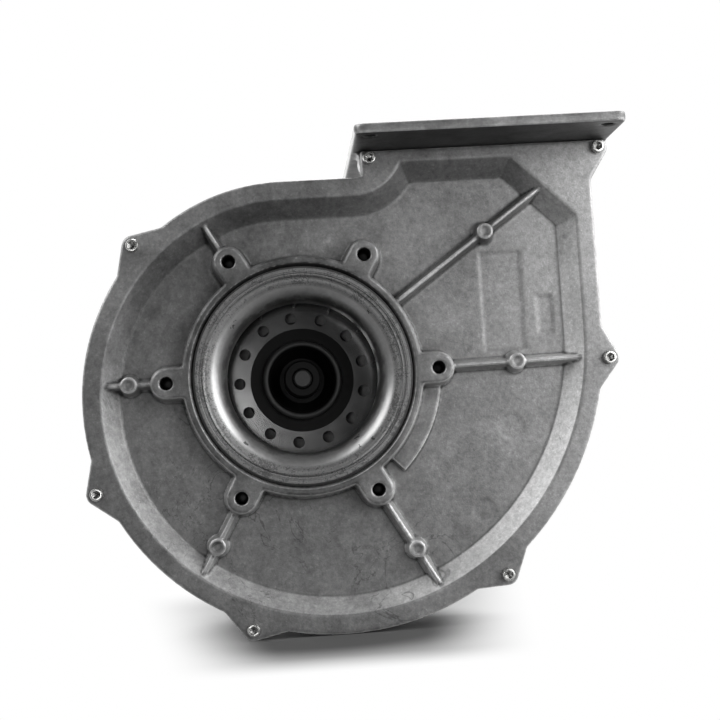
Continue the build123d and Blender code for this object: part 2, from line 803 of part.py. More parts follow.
# ---- Shaft: stepped, with a groove for the retaining ring ------------------------------------------
circlip_front = bearing_front + bearing_width
with BuildPart() as shaft:
    with BuildSketch(Plane.XY):
        with BuildLine():
            Polyline(
                (0, shaft_front),
                (shaft_radius - 0.8, shaft_front),
                (shaft_radius, shaft_front + 0.8),
                (shaft_radius, circlip_front),
                (shaft_radius - circlip_groove, circlip_front),
                (shaft_radius - circlip_groove, circlip_front + circlip_thickness),
                (shaft_mid_radius, circlip_front + circlip_thickness),
                (shaft_mid_radius, rear_bearing_front),
                (shaft_radius, rear_bearing_front),
                (shaft_radius, shaft_back),
                (0, shaft_back),
                close=True,
            )
        make_face()
    revolve(axis=Axis.Y)
write(shaft, "shaft")

with BuildPart() as retaining_ring:
    with BuildSketch(across(circlip_front + circlip_thickness)):
        Circle(circlip_radius)
        Circle(shaft_radius - circlip_groove, mode=Mode.SUBTRACT)
        Rectangle(3 * circlip_thickness, circlip_radius, align=(Align.CENTER, Align.MIN), mode=Mode.SUBTRACT)
    extrude(amount=circlip_thickness)
write(retaining_ring, "retaining_ring")


# ---- Ball bearings: rings with round grooves, balls and a pocketed cage ----------------------------
def bearing_ring(front, bore, outside):
    """One ring of a ball bearing; its groove follows the balls with a running clearance."""
    with BuildPart() as ring:
        with BuildSketch(Plane.XY):
            with Locations(((bore + outside) / 2, front + bearing_width / 2)):
                Rectangle(outside - bore, bearing_width)
            with Locations((bearing_pitch_radius, front + bearing_width / 2)):
                Circle(ball_radius + ball_clearance, mode=Mode.SUBTRACT)
        revolve(axis=Axis.Y)
    return ring


def ball_set(front):
    """The balls of one bearing."""
    with BuildPart() as balls:
        with Locations(Plane.XZ.offset(-front - bearing_width / 2)):
            with PolarLocations(bearing_pitch_radius, ball_count):
                Sphere(ball_radius)
    return balls


def ball_cage(front):
    """Flat ring that spaces the balls, with a round pocket for each."""
    with BuildPart() as cage:
        with BuildSketch(across(front + bearing_width / 2 + cage_width / 2)):
            Circle(bearing_pitch_radius + cage_thickness / 2)
            Circle(bearing_pitch_radius - cage_thickness / 2, mode=Mode.SUBTRACT)
        extrude(amount=cage_width)
        with Locations(Plane.XZ.offset(-front - bearing_width / 2)):
            with PolarLocations(bearing_pitch_radius, ball_count):
                Cylinder(ball_radius, 4 * cage_thickness, rotation=(0, 90, 0), mode=Mode.SUBTRACT)
    return cage


for end, front in (("front", bearing_front), ("rear", rear_bearing_front)):
    write(bearing_ring(front, shaft_radius, inner_race_radius), f"{end}_bearing_inner_ring")
    write(bearing_ring(front, outer_race_radius, bearing_radius), f"{end}_bearing_outer_ring")
    write(ball_set(front), f"{end}_bearing_balls")
    write(ball_cage(front), f"{end}_bearing_cage")

# ---- Front shield of the motor: cup in the casing's opening, bearing seat and mounting lugs --------
with BuildPart() as motor_flange:
    with BuildSketch(Plane.XY):
        with BuildLine():
            Polyline(
                (seal_radius, shield_front),
                (cup_radius, shield_front),
                (cup_radius, rim_front),
                (lug_rim_radius, rim_front),
                (lug_rim_radius, can_front),
                (can_bore - fit_clearance, can_front),
                (can_bore - fit_clearance, can_front + spigot_depth),
                (can_bore - spigot_wall, can_front + spigot_depth),
                (can_bore - spigot_wall, shield_front + shield_wall),
                (bearing_boss_radius, shield_front + shield_wall),
                (bearing_boss_radius, bearing_front + bearing_width),
                (bearing_radius, bearing_front + bearing_width),
                (bearing_radius, bearing_front),
                (shaft_radius + shaft_clearance, bearing_front),
                (shaft_radius + shaft_clearance, bearing_front - bearing_lip),
                (seal_radius, bearing_front - bearing_lip),
                close=True,
            )
        make_face()
    revolve(axis=Axis.Y)
    with BuildSketch(across(can_front)):
        with PolarLocations(mount_circle_radius, mount_count, start_angle=45):
            Circle(mount_lug_radius)
            Rectangle(mount_circle_radius - cup_radius, 2 * mount_lug_radius, align=(Align.MAX, Align.CENTER))
    extrude(amount=lug_rim_thickness)
    with BuildSketch(across(can_front)):
        with PolarLocations(mount_circle_radius, mount_count, start_angle=45):
            Circle(grommet_radius)
        with PolarLocations(bolt_circle_radius, bolt_count):
            Circle(bolt_radius + thread_clearance)
    extrude(amount=lug_rim_thickness, mode=Mode.SUBTRACT)
write(motor_flange, "motor_flange")

with BuildPart() as shaft_seal:
    with BuildSketch(across(shield_front + seal_width)):
        Circle(seal_radius)
        Circle(shaft_radius + ball_clearance, mode=Mode.SUBTRACT)
    extrude(amount=seal_width)
write(shaft_seal, "shaft_seal")

# ---- Rubber mounting of the motor on the casing ----------------------------------------------------
with BuildPart() as motor_seal:
    with BuildSketch(across(rim_front)):
        Circle(opening_radius + motor_seal_margin + motor_seal_section)
        Circle(opening_radius + motor_seal_margin, mode=Mode.SUBTRACT)
    extrude(amount=rim_front - casing_back)
write(motor_seal, "motor_seal")

sleeve_bore = mount_screw_radius + fit_clearance
sleeve_radius = sleeve_bore + sleeve_wall
mount_front = casing_back + mount_boss_height
mount_back = can_front + grommet_collar
with BuildPart() as mount_grommets:
    for back, radius, length in (
        (rim_front, grommet_collar_radius, rim_front - mount_front),
        (can_front, grommet_radius, lug_rim_thickness),
        (mount_back, grommet_collar_radius, grommet_collar),
    ):
        with BuildSketch(across(back)):
            with PolarLocations(mount_circle_radius, mount_count, start_angle=45):
                Circle(radius)
                Circle(sleeve_radius, mode=Mode.SUBTRACT)
        extrude(amount=length)
write(mount_grommets, "mount_grommets")

with BuildPart() as mount_sleeves:
    with BuildSketch(across(mount_back)):
        with PolarLocations(mount_circle_radius, mount_count, start_angle=45):
            Circle(sleeve_radius)
            Circle(sleeve_bore, mode=Mode.SUBTRACT)
    extrude(amount=mount_back - mount_front)
write(mount_sleeves, "mount_sleeves")

with BuildPart() as mount_washers:
    with BuildSketch(across(mount_back + washer_thickness)):
        with PolarLocations(mount_circle_radius, mount_count, start_angle=45):
            Circle(washer_radius)
            Circle(sleeve_bore, mode=Mode.SUBTRACT)
    extrude(amount=washer_thickness)
write(mount_washers, "mount_washers")


def behind(depth):
    """Plane square to the shaft at a depth, facing backwards. Its second axis points down."""
    return Plane(origin=(0, depth, 0), x_dir=(1, 0, 0), z_dir=(0, 1, 0))


def circle_places(radius, count, start):
    """Points spaced evenly round the shaft."""
    turns = [radians(start + 360 / count * i) for i in range(count)]
    return [(radius * cos(turn), radius * sin(turn)) for turn in turns]


mount_screw_length = mount_back + washer_thickness - mount_front + mount_screw_grip
mount_places = circle_places(mount_circle_radius, mount_count, 45)
mount_screws = socket_screw(behind(mount_back + washer_thickness), mount_places, mount_screw_radius,
                            mount_screw_length, mount_head_radius, mount_head_height)
write(mount_screws, "mount_screws")

# ---- Motor can: tube with cooling fins and four columns for the through bolts ----------------------
bolt_places = circle_places(bolt_circle_radius, bolt_count, 0)
with BuildPart() as motor_can:
    with BuildSketch(across(can_back)):
        Circle(can_radius)
        with PolarLocations(can_radius - can_wall / 2, fin_count, start_angle=180 / fin_count):
            Rectangle(fin_height + can_wall / 2, fin_thickness, align=(Align.MIN, Align.CENTER))
        with PolarLocations(bolt_circle_radius, bolt_count):
            Circle(bolt_column_radius)
            Rectangle(bolt_circle_radius - can_bore, 2 * bolt_column_radius, align=(Align.MAX, Align.CENTER))
        Circle(can_bore, mode=Mode.SUBTRACT)
        with Locations(*bolt_places):
            Circle(bolt_radius + screw_hole_clearance, mode=Mode.SUBTRACT)
    extrude(amount=can_length)
write(motor_can, "motor_can")

# ---- Stator: toothed core pressed in the can, end insulators and one coil on each tooth ------------
yoke_inner_radius = can_bore - yoke_width
stack_back = stack_front + stack_length


def tooth_outline(yoke_radius):
    """Yoke ring with its straight teeth, out to a radius."""
    with BuildSketch() as outline:
        Circle(yoke_radius)
        Circle(yoke_inner_radius, mode=Mode.SUBTRACT)
        with PolarLocations(stator_bore_radius, slot_count, start_angle=90):
            Rectangle(yoke_inner_radius - stator_bore_radius + 1, tooth_width,
                      align=(Align.MIN, Align.CENTER))
        Circle(stator_bore_radius, mode=Mode.SUBTRACT)
    return outline.sketch


with BuildSketch() as tooth_tips:
    Circle(stator_bore_radius + tooth_tip_depth)
    Circle(stator_bore_radius, mode=Mode.SUBTRACT)
    with PolarLocations(stator_bore_radius, slot_count, start_angle=90 + 180 / slot_count):
        Rectangle(4 * tooth_tip_depth, tooth_tip_gap, mode=Mode.SUBTRACT)

with BuildPart() as stator_core:
    with BuildSketch(across(stack_back)):
        add(tooth_outline(can_bore))
        add(tooth_tips.sketch)
    extrude(amount=stack_length)
write(stator_core, "stator_core")

with BuildPart() as stator_insulators:
    for back in (stack_front, stack_back + insulator_thickness):
        with BuildSketch(across(back)):
            add(tooth_outline(yoke_inner_radius + yoke_width / 2))
        extrude(amount=insulator_thickness)
write(stator_insulators, "stator_insulators")

coil_bore = (tooth_width + 2 * coil_clearance, stack_length + 2 * insulator_thickness)
coil_inner_radius = stator_bore_radius + tooth_tip_depth + coil_clearance
coil_half_width = coil_bore[0] / 2 + coil_thickness
coil_depth = sqrt(yoke_inner_radius**2 - coil_half_width**2) - coil_clearance - coil_inner_radius
with BuildPart() as stator_coils:
    for place in range(slot_count):
        turn = radians(90 + 360 / slot_count * place)
        foot = (coil_inner_radius * cos(turn), (stack_front + stack_back) / 2, coil_inner_radius * sin(turn))
        outwards = Plane(origin=foot, x_dir=(-sin(turn), 0, cos(turn)), z_dir=(cos(turn), 0, sin(turn)))
        with BuildSketch(outwards):
            RectangleRounded(2 * coil_half_width, coil_bore[1] + 2 * coil_thickness, coil_thickness)
            Rectangle(*coil_bore, mode=Mode.SUBTRACT)
        extrude(amount=coil_depth)
write(stator_coils, "stator_coils")

# ---- Rotor: core and magnets on the shaft, and the magnet that the angle sensor reads --------------
with BuildPart() as rotor_core:
    with BuildSketch(across(core_back)):
        Circle(rotor_core_radius)
        Circle(shaft_mid_radius, mode=Mode.SUBTRACT)
        with PolarLocations((rotor_core_radius + shaft_mid_radius) / 2, 6):
            Circle(rotor_core_radius / 6, mode=Mode.SUBTRACT)
    extrude(amount=core_back - core_front)
write(rotor_core, "rotor_core")

with BuildPart() as rotor_magnets:
    with BuildSketch(across(core_back)):
        Circle(rotor_core_radius + magnet_thickness)
        Circle(rotor_core_radius, mode=Mode.SUBTRACT)
        with PolarLocations(0, magnet_count):
            Polygon(
                (0, 0),
                (2 * rotor_core_radius, -2 * rotor_core_radius * tan(radians(45 - magnet_arc / 2))),
                (2 * rotor_core_radius, 2 * rotor_core_radius * tan(radians(45 - magnet_arc / 2))),
                align=None,
                mode=Mode.SUBTRACT,
            )
    extrude(amount=core_back - core_front)
write(rotor_magnets, "rotor_magnets")

with BuildPart() as sensor_magnet:
    with BuildSketch(across(shaft_back + sensor_magnet_thickness)):
        Circle(shaft_radius)
    extrude(amount=sensor_magnet_thickness)
write(sensor_magnet, "sensor_magnet")

# ---- Rear end shield: bearing seat, bolt lugs, board standoffs and pads for the hood ---------------
end_shield_radius = can_radius + end_shield_step
hood_radius = can_radius
board_radius = hood_radius - hood_wall - board_gap
standoff_places = circle_places(board_radius - standoff_edge, standoff_count, 45)
hood_ear_circle_radius = hood_radius + hood_ear_step
hood_ear_places = circle_places(hood_ear_circle_radius, bolt_count, 45)
board_front = end_shield_back + standoff_height
with BuildPart() as rear_end_shield:
    with BuildSketch(Plane.XY):
        Polygon(
            (shaft_radius + shaft_clearance, end_shield_back),
            (end_shield_radius, end_shield_back),
            (end_shield_radius, can_back),
            (can_bore - fit_clearance, can_back),
            (can_bore - fit_clearance, can_back - spigot_depth),
            (can_bore - spigot_wall, can_back - spigot_depth),
            (can_bore - spigot_wall, end_shield_back - end_shield_wall),
            (bearing_boss_radius, end_shield_back - end_shield_wall),
            (bearing_boss_radius, rear_bearing_front - bearing_lip),
            (bearing_radius, rear_bearing_front - bearing_lip),
            (bearing_radius, end_shield_back - bearing_lip),
            (shaft_radius + shaft_clearance, end_shield_back - bearing_lip),
            align=None,
        )
    revolve(axis=Axis.Y)
    with BuildSketch(across(end_shield_back)):
        with Locations(*bolt_places):
            Circle(bolt_column_radius)
        with Locations(*hood_ear_places):
            Circle(hood_ear_radius)
    extrude(amount=end_shield_thickness)
    with BuildSketch(across(board_front)):
        with Locations(*standoff_places):
            Circle(standoff_radius)
    extrude(amount=standoff_height)
    with BuildSketch(across(end_shield_back)):
        with Locations(*bolt_places):
            Circle(bolt_radius + screw_hole_clearance)
    extrude(amount=end_shield_thickness, mode=Mode.SUBTRACT)
    with BuildSketch(across(end_shield_back)):
        with Locations(*hood_ear_places):
            Circle(hood_screw_radius + thread_clearance)
    extrude(amount=hood_screw_length - hood_ear_thickness + 0.2, mode=Mode.SUBTRACT)
    with BuildSketch(across(board_front)):
        with Locations(*standoff_places):
            Circle(board_screw_radius + thread_clearance)
    extrude(amount=board_screw_length, mode=Mode.SUBTRACT)
write(rear_end_shield, "rear_end_shield")

with BuildPart() as preload_washer:
    with BuildSketch(Plane.XY):
        Polygon(
            (bearing_radius - 0.4, rear_bearing_back),
            (bearing_radius - 0.2, rear_bearing_back + 0.5),
            (inner_race_radius + 0.8, rear_bearing_back + spring_thickness),
            (inner_race_radius + 0.6, rear_bearing_back + spring_thickness - 0.5),
            align=None,
        )
    revolve(axis=Axis.Y)
write(preload_washer, "preload_washer")

through_bolts = socket_screw(behind(end_shield_back), bolt_places, bolt_radius,
                             end_shield_back - can_front + bolt_thread, bolt_head_radius, bolt_head_height)
write(through_bolts, "through_bolts")

# ---- Control board with its parts and headers ------------------------------------------------------
board_back = board_front + board_thickness
with BuildPart() as circuit_board:
    with BuildSketch(across(board_back)):
        Circle(board_radius)
        Rectangle(board_tongue_width, board_tongue_reach, align=(Align.CENTER, Align.MAX))
        with Locations(*standoff_places):
            Circle(board_screw_radius + screw_hole_clearance, mode=Mode.SUBTRACT)
    extrude(amount=board_thickness)
write(circuit_board, "circuit_board")

board_screws = socket_screw(behind(board_back), standoff_places, board_screw_radius, board_screw_length,
                            board_head_radius, board_head_height)
write(board_screws, "board_screws")

with BuildPart() as smoothing_capacitors:
    with BuildSketch(across(board_back)):
        with Locations(*capacitor_places):
            Circle(capacitor_radius)
    extrude(amount=-capacitor_height)
    fillet(smoothing_capacitors.faces().sort_by(Axis.Y)[-2:].edges(), capacitor_radius / 10)
write(smoothing_capacitors, "smoothing_capacitors")

with BuildPart() as line_choke:
    with Locations(Plane.XZ.offset(-board_back - choke_cord_radius)):
        with Locations(choke_place):
            Torus(choke_radius, choke_cord_radius)
write(line_choke, "line_choke")

with BuildPart() as power_module:
    with BuildSketch(across(board_back)):
        with Locations(module_place):
            Rectangle(module_size[0], module_size[1])
    extrude(amount=-module_size[2])
write(power_module, "power_module")

with BuildPart() as angle_sensor:
    with BuildSketch(across(board_front)):
        Rectangle(sensor_size, sensor_size)
    extrude(amount=sensor_height)
write(angle_sensor, "angle_sensor")


def pin_header(center_x, width, pin_count, pin_pitch, pin_side):
    """Shrouded header lying on the board, open downwards, with its row of square pins."""
    with BuildPart() as header:
        with BuildSketch(Plane.XY.offset(-header_reach)):
            with Locations((center_x, board_back + header_height / 2)):
                Rectangle(width, header_height)
        extrude(amount=header_length)
        with BuildSketch(Plane.XY.offset(-header_reach)):
            with Locations((center_x, board_back + header_height / 2)):
                Rectangle(width - 2 * header_wall, header_height - 2 * header_wall)
        extrude(amount=header_pocket, mode=Mode.SUBTRACT)
        with BuildSketch(Plane.XY.offset(header_pocket - header_reach)):
            with Locations((center_x, board_back + header_height / 2)):
                with GridLocations(pin_pitch, 1, pin_count, 1):
                    Rectangle(pin_side, pin_side)
        extrude(amount=-pin_length)
    return header


mains_header = pin_header(mains_header_x, mains_header_width, mains_pin_count, mains_pin_pitch,
                          mains_pin_side)
signal_header = pin_header(signal_header_x, signal_header_width, signal_pin_count, signal_pin_pitch,
                           signal_pin_side)
write(mains_header, "mains_header")
write(signal_header, "signal_header")

# ---- Electronics hood: moulded cup with four ears and a bulge round the headers --------------------
hood_back = end_shield_back + hood_depth
bulge_depth = bulge_back - bulge_front
with BuildPart() as electronics_hood:
    with BuildSketch(across(hood_back)):
        Circle(hood_radius)
    extrude(amount=hood_depth)
    fillet(electronics_hood.faces().sort_by(Axis.Y)[-1].edges(), hood_edge_radius)
    with BuildSketch(across(end_shield_back + bulge_back)):
        RectangleRounded(bulge_width, 2 * bulge_reach, hood_edge_radius)
        with Locations((0, 0)):
            Rectangle(bulge_width, bulge_reach, align=(Align.CENTER, Align.MIN), mode=Mode.SUBTRACT)
    extrude(amount=bulge_depth)
    with BuildSketch(across(end_shield_back + hood_ear_thickness)):
        with Locations(*hood_ear_places):
            Circle(hood_ear_radius)
        for turn in range(bolt_count):
            with Locations((0, 0)):
                Rectangle(hood_ear_circle_radius, 2 * hood_ear_radius, rotation=45 + 90 * turn,
                          align=(Align.MIN, Align.CENTER))
    extrude(amount=hood_ear_thickness)
    with BuildSketch(across(hood_back - hood_wall)):
        Circle(hood_radius - hood_wall)
    extrude(amount=hood_depth - hood_wall, mode=Mode.SUBTRACT)
    with BuildSketch(across(end_shield_back + bulge_back - hood_wall)):
        Rectangle(bulge_width - 2 * hood_wall, bulge_reach - hood_wall, align=(Align.CENTER, Align.MAX))
    extrude(amount=bulge_depth - 2 * hood_wall, mode=Mode.SUBTRACT)
    # Openings for the mouths of the headers, and the ears' screw holes
    with BuildSketch(Plane.XY.offset(-bulge_reach)):
        for center_x, width in ((mains_header_x, mains_header_width), (signal_header_x, signal_header_width)):
            with Locations((center_x, board_back + header_height / 2)):
                Rectangle(width + 2 * fit_clearance, header_height + 2 * fit_clearance)
    extrude(amount=hood_wall, mode=Mode.SUBTRACT)
    with BuildSketch(across(end_shield_back + hood_ear_thickness)):
        with Locations(*hood_ear_places):
            Circle(hood_screw_radius + screw_hole_clearance)
    extrude(amount=hood_ear_thickness, mode=Mode.SUBTRACT)
write(electronics_hood, "electronics_hood")

hood_screws = socket_screw(behind(end_shield_back + hood_ear_thickness), hood_ear_places, hood_screw_radius,
                           hood_screw_length, cover_head_radius, cover_head_height)
write(hood_screws, "hood_screws")
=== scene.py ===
import json
import math

import bmesh
import bpy
import numpy as np
from mathutils import Matrix, Vector


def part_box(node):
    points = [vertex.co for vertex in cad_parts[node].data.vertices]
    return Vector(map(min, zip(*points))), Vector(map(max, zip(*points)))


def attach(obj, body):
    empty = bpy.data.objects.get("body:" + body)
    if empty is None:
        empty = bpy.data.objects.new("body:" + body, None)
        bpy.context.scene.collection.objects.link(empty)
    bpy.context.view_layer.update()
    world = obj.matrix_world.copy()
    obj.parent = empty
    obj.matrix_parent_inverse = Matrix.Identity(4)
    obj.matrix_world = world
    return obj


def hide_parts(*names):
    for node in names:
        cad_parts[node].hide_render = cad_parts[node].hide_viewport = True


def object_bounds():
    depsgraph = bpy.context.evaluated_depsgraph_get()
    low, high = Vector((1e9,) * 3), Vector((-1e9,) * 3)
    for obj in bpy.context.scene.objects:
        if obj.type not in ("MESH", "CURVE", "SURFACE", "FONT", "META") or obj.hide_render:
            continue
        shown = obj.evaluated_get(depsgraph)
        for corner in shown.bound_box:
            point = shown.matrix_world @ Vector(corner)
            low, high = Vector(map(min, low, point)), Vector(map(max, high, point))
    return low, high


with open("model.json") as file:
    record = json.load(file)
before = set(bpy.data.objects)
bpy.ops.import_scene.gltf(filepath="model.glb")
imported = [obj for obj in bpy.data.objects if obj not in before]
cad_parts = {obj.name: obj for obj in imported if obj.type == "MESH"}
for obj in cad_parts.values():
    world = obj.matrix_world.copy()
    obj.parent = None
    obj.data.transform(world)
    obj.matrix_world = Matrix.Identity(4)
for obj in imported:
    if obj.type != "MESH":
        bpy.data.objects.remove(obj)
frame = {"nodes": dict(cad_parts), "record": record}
cad_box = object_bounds()
nodes = frame["nodes"]

# ---- Camera -----------------------------------------------------------------------------------------
# It stands in front of the inlet, a little below the shaft and to its left, and leans by three degrees.
camera_place = (-0.01228, -0.700, -0.03798)
camera_turn = Matrix((
    (0.99640, 0.05935, -0.06055),
    (-0.05657, -0.06662, -0.99617),
    (-0.06316, 0.99601, -0.06303),
))
camera = bpy.data.objects.new("camera", bpy.data.cameras.new("camera"))
camera.data.lens = 66.55
camera.matrix_world = Matrix.Translation(camera_place) @ camera_turn.to_4x4()
bpy.context.collection.objects.link(camera)
bpy.context.scene.camera = camera

# ---- Cast cover -------------------------------------------------------------------------------------
# The front half of the casing, a pressure die casting in aluminium that is screwed to the rear half. The
# die has rounded its edges. Its skin is oxidised and stained, with bright worn edges and with dirt and
# painted shade in the corners.


class Tone:
    """A shader socket that can be written into sums and products."""

    def __init__(self, socket):
        self.socket = socket

    def reckon(self, operation, first, second):
        node = self.socket.id_data.nodes.new("ShaderNodeMath")
        node.operation = operation
        for place, value in enumerate((first, second)):
            if isinstance(value, Tone):
                self.socket.id_data.links.new(value.socket, node.inputs[place])
            else:
                node.inputs[place].default_value = value
        return Tone(node.outputs[0])

    def __add__(self, other):
        return self.reckon("ADD", self, other)

    def __radd__(self, other):
        return self.reckon("ADD", other, self)

    def __sub__(self, other):
        return self.reckon("SUBTRACT", self, other)

    def __rsub__(self, other):
        return self.reckon("SUBTRACT", other, self)

    def __mul__(self, other):
        return self.reckon("MULTIPLY", self, other)

    def __rmul__(self, other):
        return self.reckon("MULTIPLY", other, self)

    def __pow__(self, other):
        return self.reckon("POWER", self, other)

    def __abs__(self):
        return self.reckon("ABSOLUTE", self, 0.0)


class Finish:
    """A surface finish: a material whose maps are written as expressions on its nodes."""

    def __init__(self, name, **sockets):
        self.material = bpy.data.materials.new(name)
        self.material.use_nodes = True
        self.tree = self.material.node_tree
        self.shader = self.tree.nodes["Principled BSDF"]
        self.give(**sockets)

    def give(self, **sockets):
        for name, value in sockets.items():
            self.join(value, self.shader.inputs[name.replace("_", " ")])

    def join(self, value, socket):
        if isinstance(value, Tone):
            self.tree.links.new(value.socket, socket)
        else:
            socket.default_value = value

    def node(self, kind, settings, values, output=0):
        node = self.tree.nodes.new(kind)
        for name, value in settings.items():
            setattr(node, name, value)
        for name, value in values.items():
            self.join(value, node.inputs[name])
        return Tone(node.outputs[output])

    def place(self):
        return self.node("ShaderNodeTexCoord", {}, {}, "Object")

    def noise(self, scale, detail=3.0, roughness=0.55, distortion=0.0, place=None):
        """Cloudy noise about 0.5, with its scale in clouds to the metre."""
        values = {"Vector": place or self.place(), "Scale": scale, "Detail": detail}
        values.update({"Roughness": roughness, "Distortion": distortion})
        return self.node("ShaderNodeTexNoise", {}, values)

    def rise(self, value, low, high):
        """From 0 at low to 1 at high, with soft ends."""
        values = {"Value": value, "From Min": low, "From Max": high}
        return self.node("ShaderNodeMapRange", {"interpolation_type": "SMOOTHSTEP"}, values)

    def grey(self, value):
        """A brightness as a colour."""
        return self.node("ShaderNodeCombineColor", {}, {"Red": value, "Green": value, "Blue": value})

    def bump(self, height, distance, strength=1.0):
        values = {"Height": height, "Distance": distance, "Strength": strength}
        return self.node("ShaderNodeBump", {}, values)

    def axis_parts(self):
        """The three coordinates, and the distance from the shaft's axis."""
        parts = self.node("ShaderNodeSeparateXYZ", {}, {"Vector": self.place()})
        x, y, z = (Tone(output) for output in parts.socket.node.outputs)
        return x, y, z, (x * x + z * z) ** 0.5

    def stored(self, name):
        """A value kept on the mesh's points, zero where the mesh has none."""
        return self.node("ShaderNodeAttribute", {"attribute_name": name}, {}, "Fac")

    def put_on(self, piece):
        piece.data.materials.clear()
        piece.data.materials.append(self.material)


def new_piece(name, mesh, finish, body):
    piece = bpy.data.objects.new(name, mesh)
    bpy.context.collection.objects.link(piece)
    finish.put_on(piece)
    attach(piece, body)
    return piece


def cast_skin(name, low=0.12, wear=0.42, painted_slope_light=0.0):
    """Die-cast aluminium that has oxidised: mottled, stained and bright on worn edges, with dirt and painted
    shade in its corners, painted shade in holes and under ledges, and painted light on its face and slopes.

    low is its brightness where it is dull, wear what worn edges add to it, and the last how strong the
    painted light is on the slopes low on the casing.
    """
    skin = Finish(name, Metallic=0.5)
    x, _, z, radius = skin.axis_parts()
    edge, wall, under, hole_shade = (skin.stored(mark) for mark in ("edge", "wall", "under", "hole_shade"))

    # The mottling, from patches as wide as a hand down to single pits
    wide = skin.noise(14.0, 3.0, 0.6)
    cloud = skin.noise(62.0, 5.0, 0.62, 0.4)
    grain = skin.noise(380.0, 4.0, 0.65)
    pits = skin.noise(1150.0, 2.0, 0.6)
    specks = skin.rise(skin.noise(760.0, 3.0, 0.6), 0.60, 0.72)
    flow = skin.noise(26.0, 4.0, 0.6, 1.6)
    blots = skin.rise(skin.noise(33.0, 5.0, 0.7, 0.8), 0.60, 0.75)

    # Worn edges, and dirt with painted shade in the corners
    worn = skin.rise(edge + 0.35 * (cloud - 0.5), 0.10, 0.70)
    dirt_and_corner_shade = skin.rise(0.35 * (cloud - 0.5) - edge, 0.05, 0.42)

    # Fine dark hairs where the casting flowed, most of them low in the middle and none at the upper right
    foot_down, foot_from, foot_to = (0.065, 0.100), (-0.01, 0.03), (0.080, 0.110)
    foot = skin.rise(0.0 - z, *foot_down) * skin.rise(x, *foot_from) * (1.0 - skin.rise(x, *foot_to))
    hairs = 1.0 - skin.rise(abs(flow - 0.5), 0.0, 0.008 + 0.008 * foot)
    hairs = hairs * skin.rise(skin.noise(11.0, 2.0) + 0.14 * foot, 0.57, 0.64)
    clear_right, clear_up = (0.075, 0.095), (-0.01, 0.01)
    clear = 1.0 - skin.rise(x, *clear_right) * skin.rise(z, *clear_up)

    # Painted sheen to the right, more so towards the duct but not on the flange's edge, and at the upper left
    middle_on, right_on, duct_up, flange_edge = (-0.03, 0.08), (0.085, 0.165), (0.0, 0.11), (0.116, 0.119)
    painted_sheen = (0.4 + 0.5 * skin.rise(z, *duct_up)) * skin.rise(x, *right_on)
    painted_sheen = painted_sheen + 0.40 * skin.rise(x, *middle_on)
    painted_sheen = painted_sheen * (1.0 - 0.7 * skin.rise(z, *flange_edge))
    left_up, left_on, left_out = (0.0, 0.05), (-0.04, 0.02), (0.09, 0.112)
    upper_left = skin.rise(z, *left_up) * skin.rise(0.0 - x, *left_on)
    painted_sheen = painted_sheen + 0.35 * skin.rise(radius, *left_out) * upper_left
    pad_out = (0.058, 0.074)
    soiled = 1.0 - skin.rise(radius, *pad_out)

    # Painted shade under the outlet flange, in the holes, in the gap round the nozzle's seat and on the
    # duct's left wall
    steep, flange_up, seat_out = (0.7, 0.95), (0.100, 0.112), (0.0600, 0.0612)
    painted_shade = skin.rise(under, *steep) * skin.rise(z, *flange_up) * (0.2 + 1.4 * cloud) + 1.4 * hole_shade
    painted_shade = painted_shade + 0.45 * (1.0 - skin.rise(radius, *seat_out))
    duct_from, duct_side = (0.098, 0.102), (0.036, 0.042)
    duct_left = skin.rise(wall, *steep) * skin.rise(z, *duct_from) * (1.0 - skin.rise(x, *duct_side))
    painted_shade = painted_shade + 0.5 * duct_left

    # Painted light on the slopes low on the casing, which face up, mottled along their length and higher up
    # on the right
    slope, slope_right, slope_middle = (0.12, 0.30), (0.110, 0.130), (0.020, 0.075)
    painted_lit_slopes = skin.rise(0.06 + 0.07 * skin.rise(x, *slope_right) - z, 0.0, 0.10)
    painted_lit_slopes = painted_lit_slopes * skin.rise(wall, *slope) * (0.6 + 0.9 * cloud)
    painted_lit_slopes = painted_lit_slopes * (1.0 + 0.4 * skin.rise(x, *slope_middle))

    tone = low * (1.0 + painted_sheen - 0.5 * soiled) + 0.12 * (wide - 0.5) + 0.19 * (cloud - 0.5) + painted_slope_light * painted_lit_slopes
    tone = tone * (1.0 - 0.45 * hairs * clear) * (1.0 - 0.3 * blots) * (1.0 - 0.8 * dirt_and_corner_shade)
    tone = tone * (0.98 + 1.1 * (grain - 0.5) + 0.5 * (pits - 0.5) + 0.2 * specks) * (1.0 - 0.65 * painted_shade)
    skin.give(Base_Color=skin.grey(tone + wear * worn * (0.5 + grain) * (1.0 - painted_shade)))
    skin.give(Roughness=0.46 + 0.25 * (cloud - 0.5) + 0.12 * dirt_and_corner_shade - 0.10 * worn)
    skin.give(Normal=skin.bump(0.7 * grain + 0.3 * pits + 0.5 * cloud, 0.00035, 0.5))
    return skin


def merged_copy(node):
    """A bmesh of a CAD node's shape with its loose triangles joined."""
    shape = bmesh.new()
    shape.from_mesh(nodes[node].data)
    bmesh.ops.remove_doubles(shape, verts=shape.verts, dist=1e-6)
    return shape


def evaluated(mesh, *modifiers):
    """The mesh with modifiers applied. Each is a type and its settings."""
    holder = bpy.data.objects.new("holder", mesh)
    bpy.context.collection.objects.link(holder)
    for kind, settings in modifiers:
        modifier = holder.modifiers.new(kind, kind)
        for name, value in settings.items():
            setattr(modifier, name, value)
    graph = bpy.context.evaluated_depsgraph_get()
    result = bpy.data.meshes.new_from_object(holder.evaluated_get(graph))
    bpy.data.objects.remove(holder)
    return result


